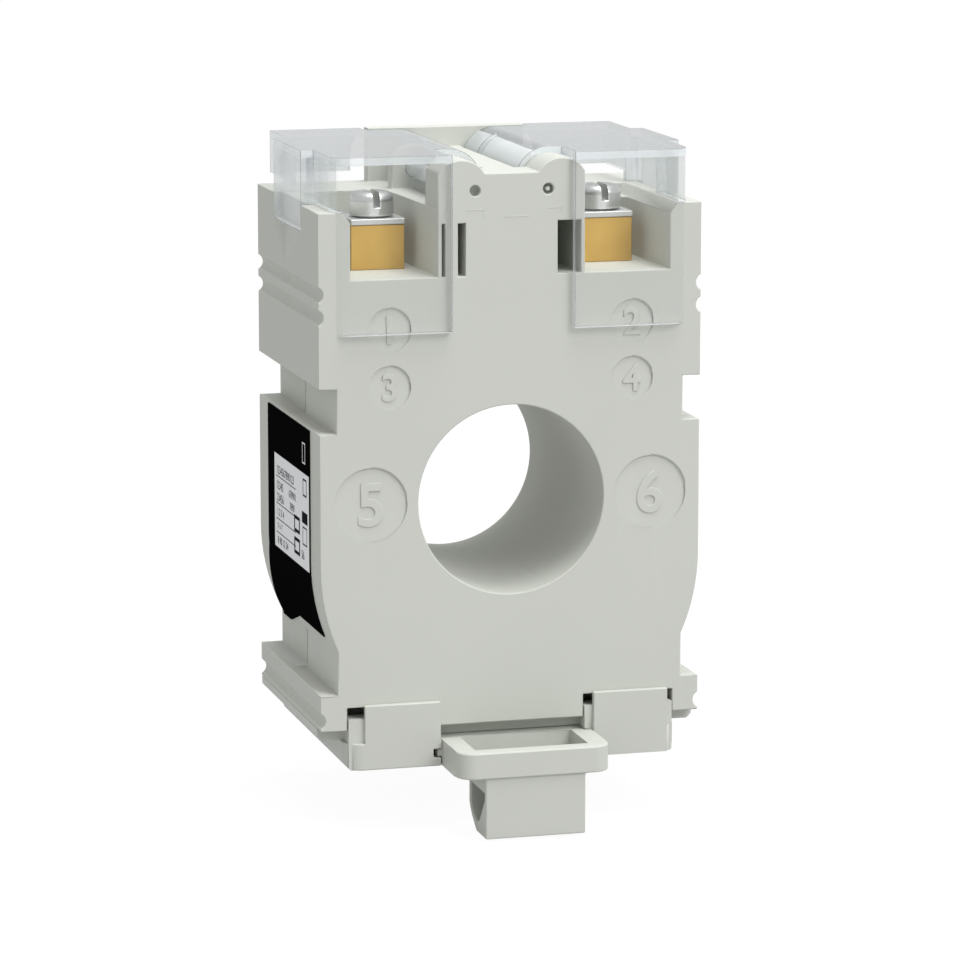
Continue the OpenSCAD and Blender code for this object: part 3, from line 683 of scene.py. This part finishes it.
# %% Cut the pale panel out of the black film
PANEL_END = 21.7
PANEL_Z = (-8.1, 2.8)
PALE = 1
shape = merged("label")
cut_through(shape, (0, PANEL_END * MM, 0), (0, 1, 0))
for z in PANEL_Z:
    cut_through(shape, (0, 0, z * MM), LEVEL)
panel_faces = 0
for face in shape.faces:
    centre = face.calc_center_median() / MM
    if face.normal.x < -LEANING and centre.y < PANEL_END and PANEL_Z[0] < centre.z < PANEL_Z[1]:
        face.material_index = PALE
        panel_faces += 1
print("panel faces:", panel_faces)
dress("label", shape, [label_black, label_pale], 0.03)

# %% [markdown]
# The side of the housing is flat down to 7 mm below the window axis and then
# follows a large arc. The print is laid out flat and then pushed back onto that
# arc, as a film would be.

# %% Print on the label
FACE_X = Vector(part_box("label")[0]).x
CURVE_Z = -7.0
CURVE_R = 23.1
PRINT = 0.012


def block(shape, y0, y1, z0, z1):
    at = (FACE_X, (y0 + y1) / 2 * MM, (z0 + z1) / 2 * MM)
    bar(shape, (2 * PRINT, y1 - y0, z1 - z0), at)


def outline(shape, y0, y1, z0, z1, line):
    block(shape, y0, y1, z0, z0 + line)
    block(shape, y0, y1, z1 - line, z1)
    block(shape, y0, y0 + line, z0 + line, z1 - line)
    block(shape, y1 - line, y1, z0 + line, z1 - line)


def line_of_figures(shape, text, height, y, z):
    letters = figures(text, height * MM, 2 * PRINT * MM, 0.0)
    width = max(v.co.x for v in letters.verts) - min(v.co.x for v in letters.verts)
    turn_to(letters, (0, -1, 0), (0, 0, 1), (FACE_X + PRINT * MM, y * MM - width / 2, z * MM))
    copy = bpy.data.meshes.new("letters")
    letters.to_mesh(copy)
    letters.free()
    shape.from_mesh(copy)
    bpy.data.meshes.remove(copy)


def onto_arc(shape):
    for corner in shape.verts:
        drop = CURVE_Z - corner.co.z / MM
        if drop > 0:
            corner.co.x += (CURVE_R - math.sqrt(CURVE_R ** 2 - drop ** 2)) * MM


ROWS = (
    ("1234567890123", 0.95, 20.4, 1.05),
    ("12345", 0.95, 20.4, -0.75), ("678901", 0.85, 14.4, -0.75),
    ("23456", 0.95, 20.4, -2.15), ("7890", 0.85, 14.0, -2.15),
    ("1 2 3 4", 0.85, 20.2, -3.85), ("5  6  7", 0.65, 20.2, -5.45),
    ("8 90 12 34", 0.85, 20.2, -7.15), ("56", 1.0, 8.2, -6.6),
)
RULES = (0.26, -2.9, -4.7, -6.3)
HALF_RULE = 0.05
BOXES = (
    (5.5, 7.6, -5.4, -3.3, 0.16), (9.0, 11.8, -4.6, -2.7, 0.4),
    (9.0, 11.8, -7.1, -5.2, 0.4), (5.6, 7.4, 0.2, 2.2, 0.2),
)
shape = bmesh.new()
for text, height, y, z in ROWS:
    line_of_figures(shape, text, height, y, z)
for z in RULES:
    block(shape, 11.0, 20.8, z - HALF_RULE, z + HALF_RULE)
block(shape, 5.2, 7.9, -2.9, -1.6)
for sides in BOXES:
    outline(shape, *sides)
onto_arc(shape)
show(shape, "label_figures", [label_ink], HOUSING)

shape = bmesh.new()
outline(shape, 6.2, 7.6, 3.9, 6.3, 0.16)
onto_arc(shape)
show(shape, "label_frame", [label_pale], HOUSING)

# %% [markdown]
# ## Light and camera
# The photograph was taken with a long lens from the front left and a little
# above. The camera was fitted to corners of the housing and to the window's rims.

# %% Camera
CAMERA_AT = Vector((-135.495, -481.087, 92.5)) * MM
BACKWARD = Vector((-0.2601, -0.9491, 0.1778)).normalized()
FOCAL = 170.54
across = Vector((0, 0, 1)).cross(BACKWARD).normalized()
upward = BACKWARD.cross(across)
lens = bpy.data.cameras.new("camera")
lens.lens = FOCAL
lens.sensor_width = 36.0
lens.clip_start = 0.01
camera = bpy.data.objects.new("camera", lens)
turned = Matrix((across, upward, BACKWARD)).transposed().to_4x4()
camera.matrix_world = Matrix.Translation(CAMERA_AT) @ turned
bpy.context.scene.collection.objects.link(camera)
bpy.context.scene.camera = camera
print("camera at", tuple(round(v, 4) for v in CAMERA_AT))

# %% [markdown]
# The background is plain white for the camera and for reflections, and a weaker
# white as a source of light. Light Path tells the two apart.

# %% What the camera and reflections see
def seen_directly(tree):
    path = tree.nodes.new("ShaderNodeLightPath")
    seen = path.outputs["Is Camera Ray"]
    for kind in ("Is Glossy Ray", "Is Transmission Ray"):
        either = tree.nodes.new("ShaderNodeMath")
        either.operation = "MAXIMUM"
        tree.links.new(seen, either.inputs[0])
        tree.links.new(path.outputs[kind], either.inputs[1])
        seen = either.outputs[0]
    return seen


def mixed(tree, share, first, second):
    mix = tree.nodes.new("ShaderNodeMixShader")
    if isinstance(share, float):
        mix.inputs["Fac"].default_value = share
    else:
        tree.links.new(share, mix.inputs["Fac"])
    tree.links.new(first, mix.inputs[1])
    tree.links.new(second, mix.inputs[2])
    return mix.outputs[0]


# %% World
WORLD_LIGHT = 0.57
world = bpy.data.worlds.new("studio")
bpy.context.scene.world = world
world.use_nodes = True
world_tree = world.node_tree
soft = world_tree.nodes["Background"]
soft.inputs["Color"].default_value = (1, 1, 1, 1)
soft.inputs["Strength"].default_value = WORLD_LIGHT
white = world_tree.nodes.new("ShaderNodeBackground")
white.inputs["Color"].default_value = (1, 1, 1, 1)
surface = mixed(world_tree, seen_directly(world_tree), soft.outputs[0], white.outputs[0])
world_tree.links.new(surface, world_tree.nodes["World Output"].inputs["Surface"])
print("world:", WORLD_LIGHT)

# %% [markdown]
# The floor is a pale sheet just under the latch. The camera and reflections see
# mostly an even glow, and a small share of plain paper, so that the shadow shows.
# To the light it is a middle grey.

# %% Floor
FLOOR_Z = -37.2 * MM
FLOOR_HALF = 3.0
GLOW_SHARE = 0.93
GLOW = 1.03
sheet = bmesh.new()
bmesh.ops.create_grid(sheet, x_segments=1, y_segments=1, size=FLOOR_HALF)
bmesh.ops.translate(sheet, vec=(0, 0, FLOOR_Z), verts=sheet.verts)
floor_mesh = bpy.data.meshes.new("floor")
sheet.to_mesh(floor_mesh)
sheet.free()
floor = bpy.data.objects.new("floor", floor_mesh)
bpy.context.scene.collection.objects.link(floor)
floor_paint, floor_tree, shader, _ = start_finish("floor_paint", (0.44, 0.44, 0.44), 0.9)
shader.inputs["Specular IOR Level"].default_value = 0.0
pale = floor_tree.nodes.new("ShaderNodeBsdfDiffuse")
pale.inputs["Color"].default_value = (0.8, 0.8, 0.8, 1)
glow = floor_tree.nodes.new("ShaderNodeEmission")
glow.inputs["Color"].default_value = (1, 1, 1, 1)
glow.inputs["Strength"].default_value = GLOW
shown = mixed(floor_tree, GLOW_SHARE, pale.outputs[0], glow.outputs[0])
surface = mixed(floor_tree, seen_directly(floor_tree), shader.outputs[0], shown)
floor_tree.links.new(surface, floor_tree.nodes["Material Output"].inputs["Surface"])
floor_mesh.materials.append(floor_paint)
print("floor at", FLOOR_Z)


# %% [markdown]
# Two large softboxes light the part, as in a small photo studio. One hangs
# overhead and reaches down into the terminal pockets. A weaker one stands to the
# front right. Neither faces the left side, which mostly has the room's light.

# %% Softboxes
SOFTBOXES = (
    ("overhead", (0.15, -0.15, 1.2), 0.8, 11.5),
    ("front_right", (0.55, -0.95, 0.85), 0.7, 8.3),
)
for name, place, size, watts in SOFTBOXES:
    data = bpy.data.lights.new(name, "AREA")
    data.shape = "DISK"
    data.size = size
    data.energy = watts
    softbox = bpy.data.objects.new(name, data)
    softbox.location = place
    softbox.rotation_euler = Vector(place).to_track_quat("Z", "Y").to_euler()
    bpy.context.scene.collection.objects.link(softbox)
bpy.context.scene.view_settings.view_transform = "Standard"
print("softboxes:", len(SOFTBOXES))
